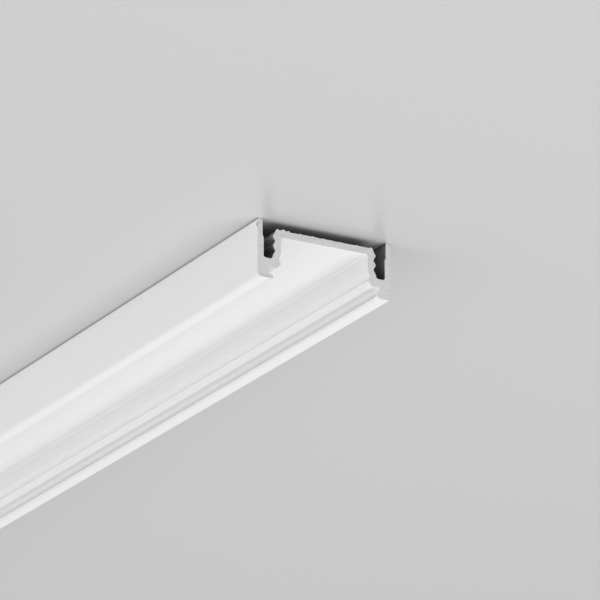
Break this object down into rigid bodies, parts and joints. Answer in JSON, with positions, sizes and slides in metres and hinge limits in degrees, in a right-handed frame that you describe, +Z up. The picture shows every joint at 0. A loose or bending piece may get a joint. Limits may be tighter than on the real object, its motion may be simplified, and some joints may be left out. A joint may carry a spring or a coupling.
{
  "type": "led strip profile",
  "caption": "Low white aluminium extrusion with a downward channel for an LED strip, snap lips for a cover and a toothed slot along each side.",
  "frame": {"origin": "middle of the length and of the width, on the plane of the two lips' undersides", "axes": "+Z up towards the ceiling that carries the profile, +Y along the profile, +X across it; the channel opens towards -Z"},
  "size_m": [0.0176, 0.5, 0.007],
  "materials": {
    "white_coat": "matt white powder coat"
  },
  "bodies": {
    "root": {"strip_profile": "white_coat"}
  },
  "joints": []
}
